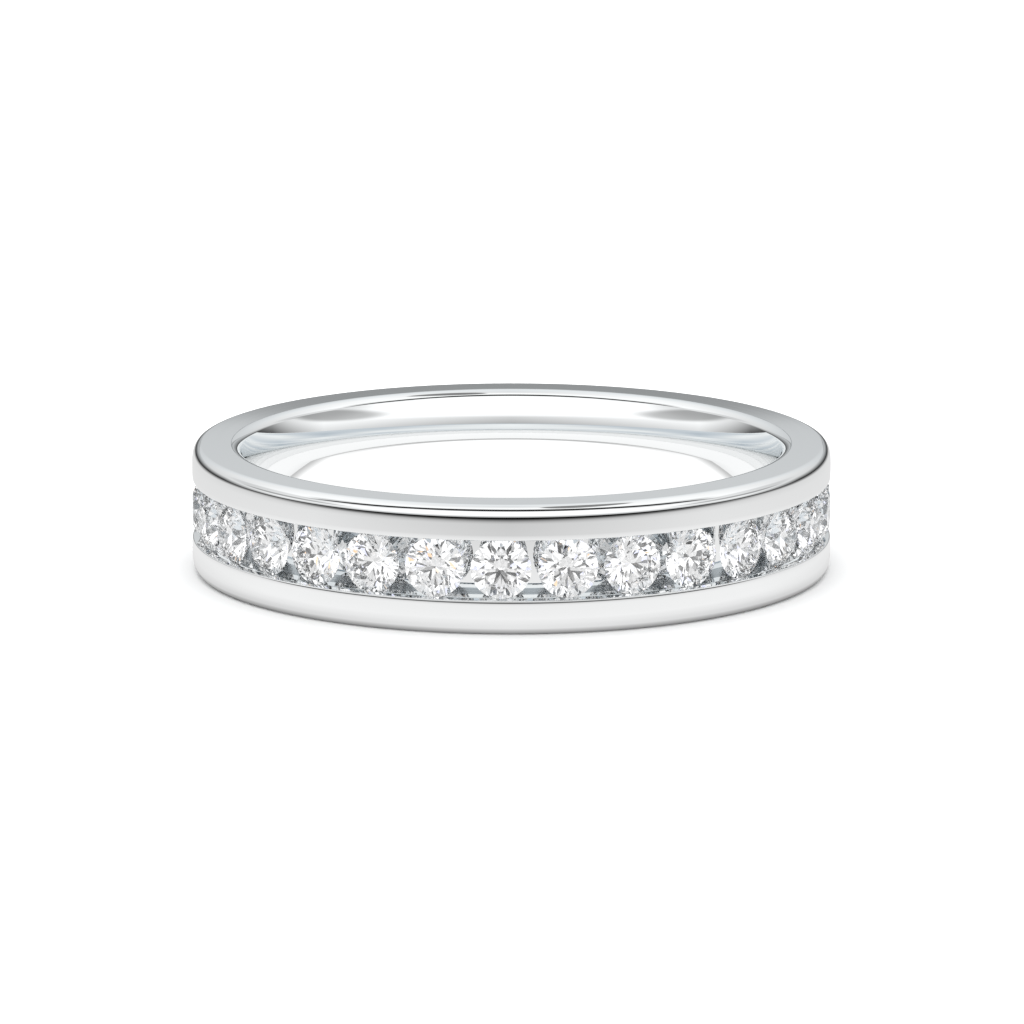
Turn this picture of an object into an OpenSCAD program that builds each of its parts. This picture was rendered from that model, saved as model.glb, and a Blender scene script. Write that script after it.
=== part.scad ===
/* [Band] */
// Smallest inside diameter of the band, at the middle of its inner face
inner_d = 16.6; // [14:0.02:22]
// Height of the band along its axis
band_h = 4.0; // [3.4:0.1:6]
// Metal left under the channel, at the middle of the band
floor_t = 0.49; // [0.3:0.01:1.2]
// Width of the straight middle of the inner face
inner_flat_w = 0.64; // [0.2:0.02:1.2]
// Radius of the rounding from the straight middle towards each inner edge
comfort_r = 4.87; // [4:0.01:12]
// Radius of the rounding on the two outer edges
outer_edge_r = 0.35; // [0.1:0.01:0.5]
// Radius of the rounding on the two inner edges
inner_edge_r = 0.32; // [0.1:0.01:0.5]

/* [Stones] */
// Diameter of each round stone at its girdle
stone_d = 1.85; // [1.4:0.01:2.3]
// Width of the table between two opposite corners
table_w = 1.05; // [0.7:0.01:1.2]
// Height of the crown above the girdle
crown_h = 0.27; // [0.18:0.01:0.35]
// Thickness of the girdle at the tips of the facets
girdle_t = 0.05; // [0.04:0.005:0.09]
// Depth of the pavilion below the girdle
pavilion_h = 0.8; // [0.6:0.01:0.95]
// Length of the star facets, as a share of the way from table to girdle
star_share = 0.5; // [0.4:0.01:0.6]
// Length of the lower half facets, as a share of the way from girdle to culet
lower_half_share = 0.77; // [0.6:0.01:0.85]
// Least space between the girdles of two neighbours
stone_gap = 0.17; // [0.1:0.01:0.5]
// Turn of the whole row about the axis of the band
row_turn = -1.85; // [-6:0.05:6]

/* [Channel] */
// How far each lip of the channel reaches over the girdles
lip_cover = 0.022; // [0.015:0.001:0.05]
// Radius of the rounding on the lips of the channel
lip_edge_r = 0.06; // [0.04:0.01:0.12]
// Depth of the tables below the outer face of the rails
table_sink = 0.01; // [0:0.005:0.1]
// Clearance between a girdle and its groove
girdle_gap = 0.02; // [0.015:0.005:0.05]
// Clearance between the point of a stone and the floor of the channel
culet_gap = 0.14; // [0.05:0.01:0.3]

/* [Hidden] */
$fn = 96;
// Facets round a brilliant, in steps of its eight main facets
MAINS = 8;
main_step = 360 / MAINS;
half_step = main_step / 2;

// Radial places, from the outer face inwards
channel_depth = table_sink + crown_h + girdle_t + pavilion_h + culet_gap;
inner_r = inner_d / 2;
floor_r = inner_r + floor_t;
outer_r = floor_r + channel_depth;
girdle_r = outer_r - table_sink - crown_h;
girdle_low_r = girdle_r - girdle_t;

// The channel and the two rails beside it
mid_z = band_h / 2;
channel_w = stone_d - 2 * lip_cover;
groove_d = lip_cover + girdle_gap;
groove_top_r = girdle_r + groove_d;
groove_low_r = girdle_low_r - groove_d;

// Past its straight middle the inner face is an arc about comfort_c, which the edge arc touches from inside
comfort_c = inner_r + comfort_r;
edge_rise = mid_z - inner_flat_w / 2 - inner_edge_r;
edge_c_r = comfort_c - sqrt(pow(comfort_r - inner_edge_r, 2) - pow(edge_rise, 2));
// Height of that arc, from the straight middle to the point where it meets its edge arc
comfort_h = edge_rise * comfort_r / (comfort_r - inner_edge_r);

// The row of stones fills the whole circle
stone_r = stone_d / 2;
least_pitch = 2 * asin((stone_d + stone_gap) / (2 * girdle_low_r));
stone_count = floor(360 / least_pitch);
stone_pitch = 360 / stone_count;

function two_digits(i) = str(i < 10 ? "0" : "", i);
function stone_name(i) = str("stone_", two_digits(i));

// Point at radius r, angle a and height z
function polar(r, a, z) = [r * cos(a), r * sin(a), z];

// Heights of the facets' flat faces at a point seen from the stone's own axis
table_r = table_w / 2;
crown_slope = crown_h / (stone_r - table_r);
pavilion_slope = pavilion_h / stone_r;
function crown_main_z(across) = (stone_r - across) * crown_slope;
function pavilion_main_z(across) = -girdle_t - (stone_r - across) * pavilion_slope;

// Where the star tips and the tips of the lower halves lie
star_in_r = table_r * cos(half_step);
star_r = star_in_r + star_share * (stone_r - star_in_r);
star_z = crown_main_z(star_r * cos(half_step));
lower_r = (1 - lower_half_share) * stone_r;
lower_z = pavilion_main_z(lower_r * cos(half_step));

// Girdle points for each main facet, and the places of those points after its tip
GIRDLE_STEPS = 4;
TIP = 0;
FIRST_DIP = 1;
CORNER = 2;
LAST_DIP = 3;
GIRDLE_POINTS = GIRDLE_STEPS * MAINS;
arc_step = main_step / GIRDLE_STEPS;

// A half facet holds its tip and two girdle corners, so its plane gives the girdle's dip between them
half_chord_r = stone_r * cos(arc_step);
star_across = star_r * cos(arc_step);
lower_across = lower_r * cos(arc_step);
upper_dip = star_z * (stone_r - half_chord_r) / (half_chord_r - star_across);
lower_dip = (-girdle_t - lower_z) * (stone_r - half_chord_r) / (half_chord_r - lower_across);

function dips(i) = i % 2;
function girdle_top(i) = polar(stone_r, i * arc_step, -upper_dip * dips(i));
function girdle_low(i) = polar(stone_r, i * arc_step, -girdle_t + lower_dip * dips(i));

// First places of each ring of points in the list below
TABLE_AT = 0;
STAR_AT = TABLE_AT + MAINS;
TOP_AT = STAR_AT + MAINS;
LOW_AT = TOP_AT + GIRDLE_POINTS;
LOWER_AT = LOW_AT + GIRDLE_POINTS;
CULET_AT = LOWER_AT + MAINS;

function on_main(k) = k % MAINS;
function on_girdle(i) = i % GIRDLE_POINTS;
function top_at(k, place) = TOP_AT + on_girdle(GIRDLE_STEPS * k + place);
function low_at(k, place) = LOW_AT + on_girdle(GIRDLE_STEPS * k + place);

brilliant_points = concat(
    [for (k = [0 : MAINS - 1]) polar(table_r, k * main_step, crown_h)],
    [for (k = [0 : MAINS - 1]) polar(star_r, (k + 0.5) * main_step, star_z)],
    [for (i = [0 : GIRDLE_POINTS - 1]) girdle_top(i)],
    [for (i = [0 : GIRDLE_POINTS - 1]) girdle_low(i)],
    [for (k = [0 : MAINS - 1]) polar(lower_r, (k + 0.5) * main_step, lower_z)],
    [[0, 0, -girdle_t - pavilion_h]]
);

// Faces turn clockwise seen from outside
function star_face(k) =
    [TABLE_AT + k, TABLE_AT + on_main(k + 1), STAR_AT + k];
function kite_face(k) =
    [TABLE_AT + k, STAR_AT + k, top_at(k, TIP), STAR_AT + on_main(k + MAINS - 1)];
function upper_half_a(k) =
    [STAR_AT + k, top_at(k, CORNER), top_at(k, FIRST_DIP), top_at(k, TIP)];
function upper_half_b(k) =
    [STAR_AT + k, top_at(k + 1, TIP), top_at(k, LAST_DIP), top_at(k, CORNER)];
function girdle_face(i) =
    [TOP_AT + i, TOP_AT + on_girdle(i + 1), LOW_AT + on_girdle(i + 1), LOW_AT + i];
function lower_half_a(k) =
    [LOWER_AT + k, low_at(k, TIP), low_at(k, FIRST_DIP), low_at(k, CORNER)];
function lower_half_b(k) =
    [LOWER_AT + k, low_at(k, CORNER), low_at(k, LAST_DIP), low_at(k + 1, TIP)];
function pavilion_face(k) =
    [CULET_AT, LOWER_AT + on_main(k + MAINS - 1), low_at(k, TIP), LOWER_AT + k];

brilliant_faces = concat(
    [[for (k = [0 : MAINS - 1]) TABLE_AT + MAINS - 1 - k]],
    [for (k = [0 : MAINS - 1]) star_face(k)],
    [for (k = [0 : MAINS - 1]) kite_face(k)],
    [for (k = [0 : MAINS - 1]) upper_half_a(k)],
    [for (k = [0 : MAINS - 1]) upper_half_b(k)],
    [for (i = [0 : GIRDLE_POINTS - 1]) girdle_face(i)],
    [for (k = [0 : MAINS - 1]) lower_half_a(k)],
    [for (k = [0 : MAINS - 1]) lower_half_b(k)],
    [for (k = [0 : MAINS - 1]) pavilion_face(k)]
);

// One round brilliant, its girdle's upper edge at z = 0 and its table up
module brilliant() {
    polyhedron(points = brilliant_points, faces = brilliant_faces, convexity = 2);
}

// A stone in its place in the row, its table facing outwards with an edge towards each rail
module stone(i) {
    turn = row_turn - 90 + (i - 1) * stone_pitch;
    color([0.93, 0.96, 1.0])
        rotate([0, 0, turn])
            translate([girdle_r, 0, mid_z])
                rotate([0, 90, 0])
                    rotate([0, 0, half_step])
                        brilliant();
}

// Outline of the turned ring before its channel is cut
module blank_section() {
    for (side = [-1, 1])
        intersection() {
            translate([comfort_c, mid_z + side * inner_flat_w / 2])
                circle(r = comfort_r, $fn = 360);
            translate([inner_r - floor_t, mid_z + side * (inner_flat_w + comfort_h) / 2 - comfort_h / 2])
                square([edge_c_r - inner_r + floor_t, comfort_h]);
        }
    translate([inner_r, mid_z - inner_flat_w / 2])
        square([edge_c_r - inner_r, inner_flat_w]);
    translate([edge_c_r, 0])
        square([outer_r - outer_edge_r - edge_c_r, band_h]);
    translate([edge_c_r, outer_edge_r])
        square([outer_r - edge_c_r, band_h - 2 * outer_edge_r]);
    for (z = [inner_edge_r, band_h - inner_edge_r])
        translate([edge_c_r, z])
            circle(r = inner_edge_r);
    for (z = [outer_edge_r, band_h - outer_edge_r])
        translate([outer_r - outer_edge_r, z])
            circle(r = outer_edge_r);
}

// What the channel takes out: a deep slot, the grooves for the girdles and the mouth between two round lips
module channel_section() {
    wall_z = channel_w / 2;
    translate([floor_r, mid_z - wall_z])
        square([channel_depth + lip_edge_r, channel_w]);
    translate([groove_low_r, mid_z - wall_z - groove_d])
        square([groove_top_r - groove_low_r, channel_w + 2 * groove_d]);
    difference() {
        translate([outer_r - lip_edge_r, mid_z - wall_z - lip_edge_r])
            square([2 * lip_edge_r, channel_w + 2 * lip_edge_r]);
        for (side = [-1, 1])
            translate([outer_r - lip_edge_r, mid_z + side * (wall_z + lip_edge_r)])
                circle(r = lip_edge_r);
    }
}

// The band is one turned piece: the rounded inner face, the two rails and the channel between them
module band() {
    color([0.85, 0.87, 0.89])
        rotate_extrude($fn = 256)
            difference() {
                blank_section();
                channel_section();
            }
}

band();
for (i = [1 : stone_count])
    stone(i);
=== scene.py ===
"""The dressed channel set band: a polished white metal ring with a full row of round brilliants.

The ring lies on its side on a white floor in a white studio. Sizes are in millimetres unless a name says
otherwise, and meshes are scaled to metres where they are made. The ring's axis is +Z through the origin,
its lower face is at z = 0, and the camera looks along +Y.
"""

import logging
import math
from dataclasses import dataclass
from enum import Enum

import bpy
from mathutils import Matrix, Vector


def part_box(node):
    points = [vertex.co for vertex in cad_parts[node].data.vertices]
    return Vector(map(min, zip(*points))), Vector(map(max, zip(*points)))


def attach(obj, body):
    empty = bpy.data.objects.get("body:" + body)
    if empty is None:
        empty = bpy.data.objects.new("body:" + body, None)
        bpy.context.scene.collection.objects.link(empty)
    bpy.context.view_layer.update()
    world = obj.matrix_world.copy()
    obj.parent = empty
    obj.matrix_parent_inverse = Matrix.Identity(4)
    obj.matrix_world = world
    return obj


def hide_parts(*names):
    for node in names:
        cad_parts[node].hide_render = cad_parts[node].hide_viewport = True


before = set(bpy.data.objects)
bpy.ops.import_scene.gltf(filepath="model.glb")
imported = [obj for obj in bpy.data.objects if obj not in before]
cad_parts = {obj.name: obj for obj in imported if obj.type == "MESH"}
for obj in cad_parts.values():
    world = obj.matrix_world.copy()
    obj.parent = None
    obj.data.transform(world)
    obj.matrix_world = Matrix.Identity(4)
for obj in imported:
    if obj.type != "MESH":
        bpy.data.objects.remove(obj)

MM = 0.001
ROOT_BODY = "root"
log = logging.getLogger("channel_set_band")

Tree = bpy.types.NodeTree
Socket = bpy.types.NodeSocket
Colour = tuple[float, float, float]
Stop = tuple[float, float]
Chart = tuple[tuple[float, tuple[Stop, ...]], ...]


class Slot(Enum):
    """Names of the material slots for the metal and the stones."""

    METAL = "polished_white_gold"
    STONE = "brilliant"


@dataclass(frozen=True)
class SectionPoint:
    """A point of the band's section, with the direction in which its surface faces.

    A point where two faces meet at a sharp edge stands in the outline twice, once for each face.
    """

    r: float
    z: float
    facing: float

    def mirrored(self, mid_z: float) -> "SectionPoint":
        """Returns the same point on the other side of the plane z = mid_z."""
        return SectionPoint(self.r, 2 * mid_z - self.z, -self.facing)


def arc(
    centre_r: float, centre_z: float, radius: float, start: float, end: float, steps: int,
) -> list[SectionPoint]:
    """Works out points along a convex arc of the section.

    Args:
        centre_r: Distance of the arc's centre from the ring's axis.
        centre_z: Height of the arc's centre.
        radius: Radius of the arc.
        start: Direction from the centre to the first point, in degrees from +r towards +z.
        end: Direction from the centre to the last point.
        steps: Number of chords.

    Returns:
        The points in order, each facing away from the centre.
    """
    points = []
    for i in range(steps + 1):
        turn = start + (end - start) * i / steps
        along_r = radius * math.cos(math.radians(turn))
        along_z = radius * math.sin(math.radians(turn))
        points.append(SectionPoint(centre_r + along_r, centre_z + along_z, turn))
    return points


def oval(
    centre_r: float, centre_z: float, half_r: float, half_z: float, start: float, end: float, steps: int,
) -> list[SectionPoint]:
    """Works out points along a convex elliptical stretch of the section.

    Args:
        centre_r: Distance of the ellipse's centre from the ring's axis.
        centre_z: Height of the ellipse's centre.
        half_r: Half its width along r.
        half_z: Half its height along z.
        start: Direction in which the surface faces at the first point, in degrees from +r towards +z.
        end: Direction in which it faces at the last point.
        steps: Number of chords.

    Returns:
        The points in order, evenly spaced in the direction that they face.
    """
    points = []
    for i in range(steps + 1):
        facing = start + (end - start) * i / steps
        push_r = half_r * math.cos(math.radians(facing))
        push_z = half_z * math.sin(math.radians(facing))
        reach = math.hypot(push_r, push_z)
        along_r = half_r * push_r / reach
        along_z = half_z * push_z / reach
        points.append(SectionPoint(centre_r + along_r, centre_z + along_z, facing))
    return points


@dataclass
class Band:
    """The metal band: two rails, the channel between them and the rounded inner face."""

    outer_r: float
    height: float
    inner_r: float = 8.3
    floor_r: float = 8.79
    inner_flat_w: float = 0.64
    comfort_r: float = 4.87
    inner_edge_r: float = 0.32
    channel_w: float = 1.806
    wall_shaded_cut_r: float = 9.25
    groove_low_r: float = 9.688
    groove_top_r: float = 9.822
    groove_d: float = 0.042
    corner_w: float = 0.28
    corner_h: float = 0.42
    corner_shoulder_r: float = 2.0
    corner_shoulder_turn: float = 5.5
    lip_edge_r: float = 0.04
    lip_slope: float = 6.0
    lip_slope_end_r: float = 10.02
    lip_shoulder_r: float = 0.85
    lip_shoulder_turn: float = 9.0
    rounds: int = 400
    SHADED_CUT_PLACE = 1

    def upper_half(self) -> list[SectionPoint]:
        """Returns the upper half of the section, from the channel's floor over the top to the inner face."""
        mid_z = self.height / 2
        wall_z = mid_z + self.channel_w / 2
        out, into, down = 0.0, 180.0, -90.0
        points = [
            SectionPoint(self.floor_r, mid_z, out),
            SectionPoint(self.floor_r, wall_z, out),
            SectionPoint(self.floor_r, wall_z, down),
            SectionPoint(self.wall_shaded_cut_r, wall_z, down),
            SectionPoint(self.groove_low_r, wall_z, down),
            SectionPoint(self.groove_low_r, wall_z, out),
            SectionPoint(self.groove_low_r, wall_z + self.groove_d, out),
            SectionPoint(self.groove_low_r, wall_z + self.groove_d, down),
            SectionPoint(self.groove_top_r, wall_z + self.groove_d, down),
            SectionPoint(self.groove_top_r, wall_z + self.groove_d, into),
            SectionPoint(self.groove_top_r, wall_z, into),
        ]
        points += self.lip(wall_z)
        points += self.outer_corner()
        points += self.inner_face(mid_z)
        return points

    def lip(self, wall_z: float) -> list[SectionPoint]:
        """Works out the channel's lip: a faint slope, a small round edge and an eased shoulder.

        Args:
            wall_z: Height of the channel's wall.

        Returns:
            The points from the groove to the rail's face.
        """
        slope = math.radians(self.lip_slope)
        edge_z = wall_z + (self.lip_slope_end_r - self.groove_top_r) * math.tan(slope)
        core_r = self.lip_slope_end_r - self.lip_edge_r * math.sin(slope)
        core_z = edge_z + self.lip_edge_r * math.cos(slope)
        turn = self.lip_shoulder_turn
        lean = math.radians(turn)
        shoulder_r = self.outer_r - self.lip_shoulder_r
        offset = self.lip_shoulder_r - self.lip_edge_r
        core_r = min(core_r, shoulder_r + offset * math.cos(lean))
        points = [SectionPoint(self.groove_top_r, wall_z, self.lip_slope - 90.0)]
        points += arc(core_r, core_z, self.lip_edge_r, self.lip_slope - 90.0, -turn, 12)
        points += arc(shoulder_r, core_z + offset * math.sin(lean), self.lip_shoulder_r, -turn, 0.0, 8)[1:]
        return points

    def outer_corner(self) -> list[SectionPoint]:
        """Returns the soft outer corner: an oval core that meets the top squarely and eases into the side."""
        turn = self.corner_shoulder_turn
        lean = math.radians(turn)
        shoulder_r = self.outer_r - self.corner_shoulder_r
        reach = math.hypot(self.corner_w * math.cos(lean), self.corner_h * math.sin(lean))
        join_r = shoulder_r + self.corner_shoulder_r * math.cos(lean)
        core_r = join_r - self.corner_w ** 2 * math.cos(lean) / reach
        core_z = self.height - self.corner_h
        join_z = core_z + self.corner_h ** 2 * math.sin(lean) / reach
        side_z = join_z - self.corner_shoulder_r * math.sin(lean)
        points = arc(shoulder_r, side_z, self.corner_shoulder_r, 0.0, turn, 8)
        points += oval(core_r, core_z, self.corner_w, self.corner_h, turn, 90.0, 32)[1:]
        return points

    def inner_face(self, mid_z: float) -> list[SectionPoint]:
        """Works out the inner edge and the upper half of the inner face, which is straight in its middle.

        Args:
            mid_z: Height of the band's middle.

        Returns:
            The points from the top to the middle.
        """
        comfort_c = self.inner_r + self.comfort_r
        flat_z = mid_z + self.inner_flat_w / 2
        edge_z = self.height - self.inner_edge_r
        offset = self.comfort_r - self.inner_edge_r
        rise = edge_z - flat_z
        edge_c = comfort_c - math.sqrt(offset ** 2 - rise ** 2)
        touch = 180.0 - math.degrees(math.asin(rise / offset))
        points = arc(edge_c, edge_z, self.inner_edge_r, 90.0, touch, 24)
        points += arc(comfort_c, flat_z, self.comfort_r, touch, 180.0, 24)[1:]
        points.append(SectionPoint(self.inner_r, mid_z, 180.0))
        return points

    def section(self) -> list[SectionPoint]:
        """Returns the whole outline once round, without repeating its first point."""
        upper = self.upper_half()
        lower = [point.mirrored(self.height / 2) for point in reversed(upper)]
        return upper[:-1] + lower[:-1]

    def build(self) -> bpy.types.Object:
        """Turns the section about the ring's axis into one closed mesh with exact normals.

        Returns:
            The new object, not yet dressed.
        """
        outline = self.section()
        places: list[tuple[float, float]] = []
        place_of = []
        for point in outline:
            here = (round(point.r, 7), round(point.z, 7))
            if not places or places[-1] != here:
                places.append(here)
            place_of.append(len(places) - 1)
        if places[-1] == places[0]:
            places.pop()
        ring = len(places)
        place_of = [place % ring for place in place_of]
        turns = [2 * math.pi * i / self.rounds for i in range(self.rounds)]
        verts = [(r * math.cos(t) * MM, r * math.sin(t) * MM, z * MM) for t in turns for r, z in places]
        faces = []
        normals = []
        shaded_cut_faces = []
        for i, turn in enumerate(turns):
            after = (i + 1) % self.rounds
            next_turn = 2 * math.pi * (i + 1) / self.rounds
            for j, point in enumerate(outline):
                other = outline[(j + 1) % len(outline)]
                a, b = place_of[j], place_of[(j + 1) % len(outline)]
                if a == b:
                    continue
                if self.is_shaded_cut(point, other):
                    shaded_cut_faces.append(len(faces))
                faces.append((i * ring + a, after * ring + a, after * ring + b, i * ring + b))
                normals += [self.normal(point, turn), self.normal(point, next_turn)]
                normals += [self.normal(other, next_turn), self.normal(other, turn)]
        mesh = bpy.data.meshes.new("band_polished")
        mesh.from_pydata(verts, [], faces)
        # The deep wall faces take the cut finish, whose dark colours are painted shade
        for place in shaded_cut_faces:
            mesh.polygons[place].material_index = self.SHADED_CUT_PLACE
        mesh.shade_smooth()
        mesh.normals_split_custom_set(normals)
        mesh.update()
        piece = bpy.data.objects.new("band_polished", mesh)
        bpy.context.scene.collection.objects.link(piece)
        return piece

    def is_shaded_cut(self, first: SectionPoint, second: SectionPoint) -> bool:
        """Tells whether a stretch of the section is the deep, cut part of a channel wall, where painted shade
        darkens the finish.

        Args:
            first: The stretch's first point.
            second: Its last point.

        Returns:
            True where it faces along the axis and lies between the floor and the end of the cut.
        """
        inner, outer = sorted((first.r, second.r))
        return abs(first.facing) == 90.0 and self.floor_r <= inner and outer <= self.wall_shaded_cut_r

    @staticmethod
    def normal(point: SectionPoint, turn: float) -> tuple[float, float, float]:
        """Returns the surface's direction at a point of the section, turned to an angle about the axis."""
        facing = math.radians(point.facing)
        return (math.cos(facing) * math.cos(turn), math.cos(facing) * math.sin(turn), math.sin(facing))

    def dress(self, polish: "MetalFinish", cut: "MetalFinish") -> bpy.types.Object:
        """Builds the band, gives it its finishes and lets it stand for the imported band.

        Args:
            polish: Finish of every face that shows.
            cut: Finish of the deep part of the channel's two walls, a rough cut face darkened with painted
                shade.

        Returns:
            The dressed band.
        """
        piece = self.build()
        piece.data.materials.append(polish.material())
        piece.data.materials.append(cut.material())
        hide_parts("band")
        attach(piece, ROOT_BODY)
        return piece


def build_nodes(tree: Tree, kind: str, **values: object) -> bpy.types.Node:
    """Adds a node to a tree and sets its plain properties.

    Args:
        tree: The node tree.
        kind: The node's type name.
        **values: Properties of the node and their values.

    Returns:
        The new node.
    """
    node = tree.nodes.new(kind)
    for name, value in values.items():
        setattr(node, name, value)
    return node


def maths(tree: Tree, operation: str, first: object, second: object = None) -> Socket:
    """Adds a Math node fed by sockets or plain numbers.

    Args:
        tree: The node tree.
        operation: The Math node's operation.
        first: First input, a socket or a number.
        second: Second input, or None where the operation takes one.

    Returns:
        The result's socket.
    """
    node = build_nodes(tree, "ShaderNodeMath", operation=operation)
    for place, value in enumerate((first, second)):
        if isinstance(value, Socket):
            tree.links.new(value, node.inputs[place])
        elif value is not None:
            node.inputs[place].default_value = value
    return node.outputs[0]


def spread(tree: Tree, value: object, low: float, high: float, smooth: bool = True) -> Socket:
    """Adds a Map Range node that takes low to 0 and high to 1 and stays within them.

    Args:
        tree: The node tree.
        value: The socket to read.
        low: The value that becomes 0.
        high: The value that becomes 1.
        smooth: Whether the step eases in and out.

    Returns:
        The result's socket.
    """
    course = "SMOOTHSTEP" if smooth else "LINEAR"
    node = build_nodes(tree, "ShaderNodeMapRange", interpolation_type=course, clamp=True)
    tree.links.new(value, node.inputs["Value"])
    node.inputs["From Min"].default_value = low
    node.inputs["From Max"].default_value = high
    return node.outputs["Result"]


def blend(tree: Tree, share: Socket, first: Socket, second: Socket) -> Socket:
    """Adds nodes that go from one value to another.

    Args:
        tree: The node tree.
        share: Socket that is 0 for the first value and 1 for the second.
        first: The first value's socket.
        second: The second value's socket.

    Returns:
        The result's socket.
    """
    step = maths(tree, "MULTIPLY", share, maths(tree, "SUBTRACT", second, first))
    return maths(tree, "ADD", first, step)


def new_material(name: str) -> tuple[bpy.types.Material, bpy.types.ShaderNodeTree, bpy.types.Node]:
    """Makes an empty node material.

    Args:
        name: The material's name.

    Returns:
        The material, its node tree and its Principled node.
    """
    material = bpy.data.materials.new(name)
    material.use_nodes = True
    tree = material.node_tree
    return material, tree, tree.nodes["Principled BSDF"]


def new_group(
    name: str, inputs: dict[str, float], outputs: tuple[str, ...],
) -> tuple[bpy.types.ShaderNodeTree, bpy.types.Node, bpy.types.Node]:
    """Makes a shader node group with named float inputs and outputs.

    Args:
        name: The group's name.
        inputs: Names of its inputs and their usual values.
        outputs: Names of its outputs.

    Returns:
        The group's tree, its input node and its output node.
    """
    tree = bpy.data.node_groups.new(name, "ShaderNodeTree")
    for label, value in inputs.items():
        socket = tree.interface.new_socket(label, in_out="INPUT", socket_type="NodeSocketFloat")
        socket.default_value = value
    for label in outputs:
        tree.interface.new_socket(label, in_out="OUTPUT", socket_type="NodeSocketFloat")
    return tree, tree.nodes.new("NodeGroupInput"), tree.nodes.new("NodeGroupOutput")


# Radius at which the marks have their length, and the octaves of their noise
MARKS_RADIUS = 9.0
MARKS_DETAIL = 2.0


def marks_group() -> bpy.types.ShaderNodeTree:
    """Makes the group that draws the fine marks which a tool leaves along the ring, at its first use.

    Its inputs are the marks' Spacing across and Length along the ring, in metres, and its Contrast. Its
    outputs are Tone, from 0 to 1, and Height for a Bump node.

    Returns:
        The group's tree.
    """
    name = "tool_marks"
    if name in bpy.data.node_groups:
        return bpy.data.node_groups[name]
    usual = {"Spacing": 0.05 * MM, "Length": 3.0 * MM, "Contrast": 1.0}
    tree, enter, leave = new_group(name, usual, ("Tone", "Height"))
    place = build_nodes(tree, "ShaderNodeNewGeometry")
    parts = build_nodes(tree, "ShaderNodeSeparateXYZ")
    tree.links.new(place.outputs["Position"], parts.inputs[0])
    x, y, z = parts.outputs
    square = maths(tree, "ADD", maths(tree, "MULTIPLY", x, x), maths(tree, "MULTIPLY", y, y))
    radius = maths(tree, "SQRT", square)
    turn = maths(tree, "ARCTAN2", y, x)
    along = maths(tree, "DIVIDE", maths(tree, "MULTIPLY", turn, MARKS_RADIUS * MM), enter.outputs["Length"])
    across = maths(tree, "DIVIDE", radius, enter.outputs["Spacing"])
    up = maths(tree, "DIVIDE", z, enter.outputs["Spacing"])
    spot = build_nodes(tree, "ShaderNodeCombineXYZ")
    for socket, value in zip(spot.inputs, (along, across, up)):
        tree.links.new(value, socket)
    noise = build_nodes(tree, "ShaderNodeTexNoise", noise_dimensions="3D")
    noise.inputs["Scale"].default_value = 1.0
    noise.inputs["Detail"].default_value = MARKS_DETAIL
    tree.links.new(spot.outputs[0], noise.inputs["Vector"])
    centred = maths(tree, "SUBTRACT", noise.outputs[0], 0.5)
    tone = maths(tree, "ADD", maths(tree, "MULTIPLY", centred, enter.outputs["Contrast"]), 0.5)
    tree.links.new(tone, leave.inputs["Tone"])
    tree.links.new(noise.outputs[0], leave.inputs["Height"])
    return tree


@dataclass(frozen=True)
class MetalFinish:
    """White metal with fine marks along the ring, from a mirror polish to a cut face, whose darker colours
    are painted shade.
    """

    name: str
    dark: Colour
    light: Colour
    smoothest: float
    roughest: float
    mark_spacing: float
    mark_length: float
    mark_depth: float
    contrast: float = 1.0

    def material(self) -> bpy.types.Material:
        """Returns the finish's material."""
        material, tree, shader = new_material(self.name)
        marks = build_nodes(tree, "ShaderNodeGroup", node_tree=marks_group())
        marks.inputs["Spacing"].default_value = self.mark_spacing * MM
        marks.inputs["Length"].default_value = self.mark_length * MM
        marks.inputs["Contrast"].default_value = self.contrast
        colours = build_nodes(tree, "ShaderNodeMix", data_type="RGBA", clamp_factor=True)
        tree.links.new(marks.outputs["Tone"], colours.inputs["Factor"])
        colours.inputs["A"].default_value = (*self.dark, 1.0)
        colours.inputs["B"].default_value = (*self.light, 1.0)
        tree.links.new(colours.outputs["Result"], shader.inputs["Base Color"])
        span = maths(tree, "MULTIPLY", marks.outputs["Tone"], self.roughest - self.smoothest)
        tree.links.new(maths(tree, "ADD", span, self.smoothest), shader.inputs["Roughness"])
        bump = build_nodes(tree, "ShaderNodeBump")
        bump.inputs["Strength"].default_value = 1.0
        bump.inputs["Distance"].default_value = self.mark_depth * MM
        tree.links.new(marks.outputs["Height"], bump.inputs["Height"])
        tree.links.new(bump.outputs["Normal"], shader.inputs["Normal"])
        shader.inputs["Metallic"].default_value = 1.0
        return material


MIRROR_POLISH = MetalFinish(
    name="polished_white_gold",
    dark=(0.878, 0.884, 0.886), light=(0.888, 0.894, 0.896),
    smoothest=0.012, roughest=0.028,
    mark_spacing=0.25, mark_length=6.0, mark_depth=0.00004,
)
# Rough cut face with tool marks; its dark colours are painted shade for the channel's recess
GRAVER_CUT_AND_PAINTED_SHADE = MetalFinish(
    name="cut_white_gold_painted_shade",
    dark=(0.2, 0.225, 0.24), light=(0.62, 0.65, 0.67),
    smoothest=0.18, roughest=0.34,
    mark_spacing=0.2, mark_length=1.2, mark_depth=0.006, contrast=2.6,
)


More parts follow.
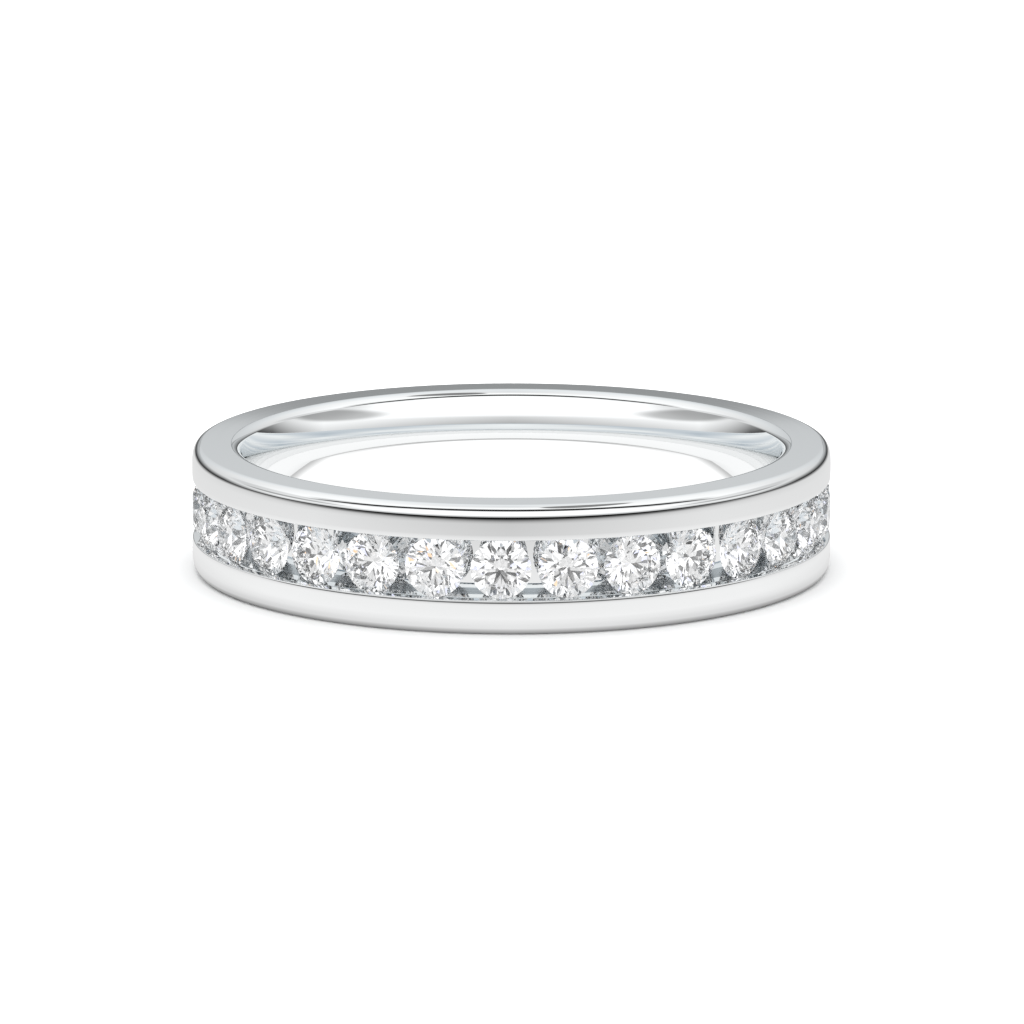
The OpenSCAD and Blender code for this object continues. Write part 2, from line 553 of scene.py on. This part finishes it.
@dataclass(frozen=True)
class CutStone:
    """Clear cut stone with the bending power of diamond."""

    ior: float = 2.417
    clear: Colour = (1.0, 1.0, 1.0)
    faint: Colour = (0.985, 0.99, 0.995)
    polish: float = 0.002
    cloud_size: float = 1.5

    def material(self) -> bpy.types.Material:
        """Returns the stones' material."""
        material, tree, shader = new_material("brilliant")
        place = build_nodes(tree, "ShaderNodeNewGeometry")
        noise = build_nodes(tree, "ShaderNodeTexNoise")
        noise.inputs["Scale"].default_value = 1.0 / (self.cloud_size * MM)
        tree.links.new(place.outputs["Position"], noise.inputs["Vector"])
        colours = build_nodes(tree, "ShaderNodeMix", data_type="RGBA", clamp_factor=True)
        tree.links.new(noise.outputs[0], colours.inputs["Factor"])
        colours.inputs["A"].default_value = (*self.clear, 1.0)
        colours.inputs["B"].default_value = (*self.faint, 1.0)
        tree.links.new(colours.outputs["Result"], shader.inputs["Base Color"])
        tree.links.new(maths(tree, "MULTIPLY", noise.outputs[0], self.polish), shader.inputs["Roughness"])
        shader.inputs["IOR"].default_value = self.ior
        shader.inputs["Transmission Weight"].default_value = 1.0
        return material


@dataclass
class StoneRow:
    """The row of brilliants in the channel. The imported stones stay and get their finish."""

    prefix: str = "stone_"

    def nodes(self) -> list[bpy.types.Object]:
        """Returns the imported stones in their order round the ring."""
        names = sorted(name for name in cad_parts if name.startswith(self.prefix))
        return [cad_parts[name] for name in names]

    def dress(self, finish: CutStone) -> list[bpy.types.Object]:
        """Gives each stone its finish.

        Args:
            finish: The stones' finish.

        Returns:
            The dressed stones.
        """
        material = finish.material()
        stones = self.nodes()
        for stone in stones:
            for place in stone.material_slots:
                place.material = material
        return stones


# Brightness of the studio's walls by elevation, from the front over the side to the back, all in degrees
SKY: Chart = (
    (0.0, ((0.0, 0.0), (1.0, 0.1), (3.0, 0.45), (8.5, 0.75), (10.2, 1.2), (65.0, 1.2), (90.0, 0.85))),
    (90.0, ((0.0, 0.0), (3.0, 0.8), (9.5, 1.2), (60.0, 1.1), (90.0, 0.85))),
    (125.0, ((0.0, 0.0), (3.0, 0.1), (9.0, 0.6), (12.0, 0.8), (60.0, 1.1), (90.0, 0.85))),
    (180.0, ((0.0, 0.0), (7.0, 0.35), (11.5, 0.67), (46.0, 0.95), (90.0, 0.85))),
)
# The same for light that has met the metal more than once
DEEP_SKY: Chart = (
    (0.0, ((0.0, 0.1), (6.0, 1.0), (12.4, 1.1), (13.2, 0.85), (22.0, 0.7), (35.0, 0.9), (90.0, 0.6))),
    (60.0, ((0.0, 0.1), (6.0, 0.95), (9.0, 0.75), (17.0, 1.1), (28.0, 0.8), (90.0, 0.7))),
    (180.0, ((0.0, 0.1), (6.0, 1.05), (35.0, 1.15), (90.0, 0.75))),
)
# Painted glow of the floor in the metal by distance from the axis in millimetres: bright under the open ring,
# a dark painted shadow where the band stands, and fading away from the ring
PAINTED_FLOOR_GLOW: Chart = (
    (0.0, (
        (0.0, 1.3), (6.2, 1.25), (7.2, 0.7), (10.0, 0.05), (10.05, 0.88), (12.0, 1.0), (42.0, 0.3),
        (66.0, 0.05), (100.0, 0.0),
    )),
    (60.0, (
        (0.0, 1.3), (6.3, 1.25), (7.2, 0.7), (10.0, 0.05), (10.1, 0.7), (10.9, 0.9), (12.0, 1.0),
        (40.0, 0.7), (58.0, 0.2), (100.0, 0.0),
    )),
    (140.0, ((0.0, 1.3), (7.9, 1.2), (8.4, 0.7), (9.9, 0.3), (10.16, 0.8), (40.0, 0.8), (100.0, 0.3))),
)
# The same for light that has met the metal more than once, alike all round
PAINTED_DEEP_FLOOR_GLOW: Chart = (
    (0.0, ((0.0, 1.25), (8.4, 1.2), (10.0, 0.5), (10.6, 0.9), (30.0, 0.8), (100.0, 0.1))),
)


@dataclass(frozen=True)
class Screen:
    """A dark oval screen that stands in the studio on both sides of the front. Angles are in degrees."""

    away: float
    lift: float
    half_away: float
    half_lift: float
    edge: float
    tone: float
    droop: float = 0.0

    def passes(self, tree: Tree, away: Socket, lift: Socket) -> Socket:
        """Adds nodes for the share of light that passes the screen.

        Args:
            tree: The node tree.
            away: The angle from the front, in radians.
            lift: The elevation, in radians.

        Returns:
            The share's socket: the screen's tone within it and 1 beside it.
        """
        sag = maths(tree, "MULTIPLY", maths(tree, "MULTIPLY", away, away), self.droop)
        raised = maths(tree, "ADD", lift, sag)
        squares = []
        for angle, middle, half in ((away, self.away, self.half_away), (raised, self.lift, self.half_lift)):
            across = maths(tree, "SUBTRACT", angle, math.radians(middle))
            share = maths(tree, "ABSOLUTE", maths(tree, "DIVIDE", across, math.radians(half)))
            squares.append(maths(tree, "POWER", share, 2.0))
        clear = spread(tree, maths(tree, "ADD", *squares), 1.0 - self.edge, 1.0 + self.edge)
        return maths(tree, "ADD", maths(tree, "MULTIPLY", clear, 1.0 - self.tone), self.tone)


SCREENS = (
    Screen(away=0.0, lift=49.5, half_away=80.0, half_lift=8.8, edge=0.2, tone=0.03, droop=0.22),
    Screen(away=85.0, lift=12.5, half_away=26.0, half_lift=3.4, edge=0.6, tone=0.5),
    Screen(away=95.0, lift=19.0, half_away=28.0, half_lift=9.0, edge=0.6, tone=0.74),
    Screen(away=64.0, lift=34.0, half_away=20.0, half_lift=8.0, edge=0.7, tone=0.6),
    Screen(away=180.0, lift=10.75, half_away=34.0, half_lift=0.3, edge=0.6, tone=0.52),
)


@dataclass
class Studio:
    """The white studio: the sky of soft light, the floor and the camera."""

    ring_height: float
    lens_mm: float = 266.3
    distance: float = 239.0
    elevation: float = 11.72
    pitch: float = 11.783
    side_shift: float = 0.018
    floor_size: float = 1.2
    highest: float = 90.0
    near_tint: Colour = (0.985, 0.996, 1.0)
    far_tint: Colour = (0.95, 0.982, 1.0)
    far_tint_from: float = 135.0
    far_tint_full: float = 160.0
    panel_place: tuple[float, float] = (0.28, -0.15)
    panel_half: tuple[float, float] = (0.17, 0.33)
    panel_edge: float = 0.2
    panel_tone: float = 0.25
    stone_sky: float = 1.5
    stone_dusk: tuple[float, float] = (0.5, 8.0)
    eye_elevation: float = 11.7
    eye_edge: tuple[float, float] = (20.0, 14.0)
    eye_tone: float = 0.05
    fleck_size: float = 0.07
    cool_from: tuple[float, float] = (0.85, 0.95)
    warm_from: tuple[float, float] = (0.95, 0.98)
    fleck_warm: Colour = (1.0, 0.66, 0.4)
    fleck_cool: Colour = (0.78, 0.8, 1.0)
    deep_tint: Colour = (0.965, 0.995, 1.005)
    dusk_tint: Colour = (0.45, 0.72, 1.0)
    floor_reach: float = 100.0
    floor_tone: float = 0.9
    dome_strength: float = 2.9

    def place_camera(self) -> bpy.types.Object:
        """Places the camera at the photograph's angle above the floor.

        Returns:
            The camera.
        """
        data = bpy.data.cameras.new("camera")
        data.sensor_width = 36.0
        data.lens = self.lens_mm
        data.clip_start = 0.01
        data.clip_end = 10.0
        camera = bpy.data.objects.new("camera", data)
        lift = math.radians(self.elevation)
        camera.location = (
            self.side_shift * MM,
            -self.distance * math.cos(lift) * MM,
            (self.ring_height / 2 + self.distance * math.sin(lift)) * MM,
        )
        camera.rotation_euler = (math.radians(90.0 - self.pitch), 0.0, 0.0)
        bpy.context.scene.collection.objects.link(camera)
        bpy.context.scene.camera = camera
        return camera

    @staticmethod
    def ramp(tree: Tree, share: Socket, stops: tuple[Stop, ...], high: float) -> Socket:
        """Adds a ramp of brightness.

        Args:
            tree: The node tree.
            share: Socket that runs from 0 at the place 0 to 1 at high.
            stops: Pairs of place and brightness.
            high: The place at the ramp's end.

        Returns:
            The brightness socket.
        """
        node = build_nodes(tree, "ShaderNodeValToRGB")
        elements = node.color_ramp.elements
        while len(elements) > 1:
            elements.remove(elements[-1])
        most = 2.0
        for order, (place, bright) in enumerate(stops):
            at = place / high
            stop = elements[0] if order == 0 else elements.new(at)
            stop.position = at
            stop.color = (bright / most, bright / most, bright / most, 1.0)
        tree.links.new(share, node.inputs["Fac"])
        return maths(tree, "MULTIPLY", node.outputs["Color"], most)

    def draw(self, tree: Tree, away: Socket, share: Socket, chart: Chart, high: float) -> Socket:
        """Adds the ramps of a chart and blends each with the next round the ring.

        Args:
            tree: The node tree.
            away: The angle from the front, in radians.
            share: Socket that runs from 0 at the place 0 to 1 at high.
            chart: The columns of stops.
            high: The place at each ramp's end.

        Returns:
            The brightness socket.
        """
        (before, stops), *others = chart
        bright = self.ramp(tree, share, stops, high)
        for angle, stops in others:
            step = spread(tree, away, math.radians(before), math.radians(angle), smooth=False)
            bright = blend(tree, step, bright, self.ramp(tree, share, stops, high))
            before = angle
        return bright

    @staticmethod
    def tint(tree: Tree, share: Socket, first: object, second: object) -> Socket:
        """Adds a mix of two colours.

        Args:
            tree: The node tree.
            share: Socket that is 0 for the first colour and 1 for the second.
            first: The first colour, as three numbers or a socket.
            second: The second colour.

        Returns:
            The colour's socket.
        """
        mix = build_nodes(tree, "ShaderNodeMix", data_type="RGBA", clamp_factor=True)
        tree.links.new(share, mix.inputs["Factor"])
        for label, colour in (("A", first), ("B", second)):
            if isinstance(colour, Socket):
                tree.links.new(colour, mix.inputs[label])
            else:
                mix.inputs[label].default_value = (*colour, 1.0)
        return mix.outputs["Result"]

    @staticmethod
    def met_twice(tree: Tree, depth: float) -> Socket:
        """Adds nodes that tell light that has met the metal more than once.

        Args:
            tree: The node tree.
            depth: The ray's depth past which it has.

        Returns:
            A socket that is 1 for a mirrored ray deeper than that, and else 0.
        """
        rays = build_nodes(tree, "ShaderNodeLightPath")
        deep = maths(tree, "GREATER_THAN", rays.outputs["Ray Depth"], depth)
        return maths(tree, "MULTIPLY", deep, rays.outputs["Is Glossy Ray"])

    @staticmethod
    def from_front(tree: Tree, x: Socket, y: Socket) -> Socket:
        """Adds nodes for the angle from the front to either side, in radians."""
        return maths(tree, "ABSOLUTE", maths(tree, "ARCTAN2", x, maths(tree, "MULTIPLY", y, -1.0)))

    def light(self) -> None:
        """Builds the studio's soft light: a white dome that darkens towards the horizon."""
        world = bpy.data.worlds.new("studio")
        world.use_nodes = True
        bpy.context.scene.world = world
        tree = world.node_tree
        where = build_nodes(tree, "ShaderNodeTexCoord")
        parts = build_nodes(tree, "ShaderNodeSeparateXYZ")
        tree.links.new(where.outputs["Generated"], parts.inputs[0])
        x, y, z = parts.outputs
        lift = maths(tree, "ARCSINE", z)
        share = spread(tree, lift, 0.0, math.radians(self.highest), smooth=False)
        away = self.from_front(tree, x, y)
        walls = self.draw(tree, away, share, SKY, self.highest)
        once = maths(tree, "MULTIPLY", walls, self.past_panel(tree, x, y, z))
        for screen in SCREENS:
            once = maths(tree, "MULTIPLY", once, screen.passes(tree, away, lift))
        more = self.draw(tree, away, share, DEEP_SKY, self.highest)
        deep = self.met_twice(tree, 2.5)
        to_far = spread(tree, away, math.radians(self.far_tint_from), math.radians(self.far_tint_full))
        once_tint = self.tint(tree, to_far, self.near_tint, self.far_tint)
        more_tint = self.tint(tree, more, self.dusk_tint, self.deep_tint)
        through = build_nodes(tree, "ShaderNodeLightPath").outputs["Is Transmission Ray"]
        background = tree.nodes["Background"]
        mirrored_tint = self.tint(tree, deep, once_tint, more_tint)
        stone_tint = self.flecks(tree, where.outputs["Generated"])
        tree.links.new(self.tint(tree, through, mirrored_tint, stone_tint), background.inputs["Color"])
        mirrored = blend(tree, deep, once, more)
        in_stones = self.seen_in_stones(tree, y, z)
        tree.links.new(blend(tree, through, mirrored, in_stones), background.inputs["Strength"])

    def past_panel(self, tree: Tree, x: Socket, y: Socket, z: Socket) -> Socket:
        """Adds nodes for the share of light that passes a dark oval panel overhead.

        Args:
            tree: The node tree.
            x: The direction's part along X.
            y: Its part along Y.
            z: Its part along Z.

        Returns:
            The share's socket.
        """
        squares = []
        for part, middle, half in zip((x, y), self.panel_place, self.panel_half):
            across = maths(tree, "SUBTRACT", maths(tree, "DIVIDE", part, z), middle)
            squares.append(maths(tree, "POWER", maths(tree, "DIVIDE", across, half), 2.0))
        clear = spread(tree, maths(tree, "ADD", *squares), 1.0 - self.panel_edge, 1.0 + self.panel_edge)
        return maths(tree, "ADD", maths(tree, "MULTIPLY", clear, 1.0 - self.panel_tone), self.panel_tone)

    def seen_in_stones(self, tree: Tree, y: Socket, z: Socket) -> Socket:
        """Adds nodes for the sky that shows through the stones: bright, with a dark round eye at the front.

        Args:
            tree: The node tree.
            y: The direction's part along Y.
            z: Its part along Z.

        Returns:
            The brightness socket.
        """
        lift = math.radians(self.eye_elevation)
        forward = maths(tree, "MULTIPLY", y, -math.cos(lift))
        near_eye = maths(tree, "ADD", forward, maths(tree, "MULTIPLY", z, math.sin(lift)))
        outer, inner = (math.cos(math.radians(edge)) for edge in self.eye_edge)
        eye = maths(tree, "MULTIPLY", spread(tree, near_eye, outer, inner), 1.0 - self.eye_tone)
        low, high = (math.sin(math.radians(edge)) for edge in self.stone_dusk)
        above = maths(tree, "MULTIPLY", spread(tree, z, low, high), self.stone_sky)
        return maths(tree, "MULTIPLY", above, maths(tree, "SUBTRACT", 1.0, eye))

    def flecks(self, tree: Tree, direction: Socket) -> Socket:
        """Adds small warm and cool patches of the sky, which give the stones their flecks of colour.

        Args:
            tree: The node tree.
            direction: The socket of the direction.

        Returns:
            The colour's socket.
        """
        cells = build_nodes(tree, "ShaderNodeTexVoronoi", feature="F1")
        cells.inputs["Scale"].default_value = 1.0 / self.fleck_size
        tree.links.new(direction, cells.inputs["Vector"])
        draws = build_nodes(tree, "ShaderNodeSeparateColor")
        tree.links.new(cells.outputs["Color"], draws.inputs[0])
        white = (1.0, 1.0, 1.0)
        cool = self.tint(tree, spread(tree, draws.outputs[0], *self.cool_from), white, self.fleck_cool)
        return self.tint(tree, spread(tree, draws.outputs[1], *self.warm_from), cool, self.fleck_warm)

    def hang_dome(self) -> bpy.types.Object:
        """Adds soft light from all over the sky for the floor alone, which makes it a clean white.

        Returns:
            The light.
        """
        data = bpy.data.lights.new("dome", "SUN")
        data.energy = self.dome_strength
        data.angle = math.pi
        dome = bpy.data.objects.new("dome", data)
        dome.visible_glossy = False
        dome.visible_transmission = False
        bpy.context.scene.collection.objects.link(dome)
        return dome

    def lay_floor(self) -> bpy.types.Object:
        """Lays the white floor, which the camera sees lit and the polished metal sees as a painted glow, with
        a painted shadow at the band, that fades away from the ring.

        Returns:
            The floor.
        """
        half = self.floor_size / 2
        mesh = bpy.data.meshes.new("floor")
        corners = [(-half, -half, 0.0), (half, -half, 0.0), (half, half, 0.0), (-half, half, 0.0)]
        mesh.from_pydata(corners, [], [(0, 1, 2, 3)])
        floor = bpy.data.objects.new("floor", mesh)
        bpy.context.scene.collection.objects.link(floor)
        material, tree, shader = new_material("white_floor_painted_glow")
        shader.inputs["Roughness"].default_value = 1.0
        shader.inputs["Specular IOR Level"].default_value = 0.0
        place = build_nodes(tree, "ShaderNodeNewGeometry")
        reach = build_nodes(tree, "ShaderNodeVectorMath", operation="LENGTH")
        tree.links.new(place.outputs["Position"], reach.inputs[0])
        share = spread(tree, reach.outputs["Value"], 0.0, self.floor_reach * MM, smooth=False)
        parts = build_nodes(tree, "ShaderNodeSeparateXYZ")
        tree.links.new(place.outputs["Position"], parts.inputs[0])
        away = self.from_front(tree, parts.outputs["X"], parts.outputs["Y"])
        once = self.draw(tree, away, share, PAINTED_FLOOR_GLOW, self.floor_reach)
        more = self.draw(tree, away, share, PAINTED_DEEP_FLOOR_GLOW, self.floor_reach)
        mirrored = blend(tree, self.met_twice(tree, 1.5), once, more)
        rays = build_nodes(tree, "ShaderNodeLightPath")
        direct = rays.outputs["Is Camera Ray"]
        # Mirrored rays see the floor glow with painted brightness and a painted shadow; the camera sees it
        # plain white
        painted_glow = maths(tree, "MULTIPLY", mirrored, maths(tree, "SUBTRACT", 1.0, direct))
        shown = maths(tree, "MULTIPLY", direct, self.floor_tone)
        for value, target in ((shown, "Base Color"), (painted_glow, "Emission Color")):
            mix = build_nodes(tree, "ShaderNodeCombineColor")
            for socket in mix.inputs:
                tree.links.new(value, socket)
            tree.links.new(mix.outputs[0], shader.inputs[target])
        shader.inputs["Emission Strength"].default_value = 1.0
        mesh.materials.append(material)
        return floor

    def settle(self) -> None:
        """Sets how colours are shown and how far light may travel inside the stones."""
        scene = bpy.context.scene
        scene.view_settings.view_transform = "Standard"
        scene.cycles.max_bounces = 24
        scene.cycles.transmission_bounces = 24
        scene.cycles.glossy_bounces = 16
        scene.cycles.diffuse_bounces = 3
        scene.cycles.caustics_reflective = False


def main() -> None:
    """Builds the studio and the ring, and reports each piece."""
    logging.basicConfig(level=logging.INFO, format="%(name)s: %(message)s")
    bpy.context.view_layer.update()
    _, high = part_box("band")
    band = Band(outer_r=high.x / MM, height=high.z / MM)
    studio = Studio(ring_height=band.height)
    studio.place_camera()
    studio.settle()
    studio.light()
    studio.hang_dome()
    studio.lay_floor()
    piece = band.dress(MIRROR_POLISH, GRAVER_CUT_AND_PAINTED_SHADE)
    log.info("%s: %d faces", piece.name, len(piece.data.polygons))
    stones = StoneRow().dress(CutStone())
    log.info("%d stones dressed", len(stones))


if __name__ == "__main__":
    main()
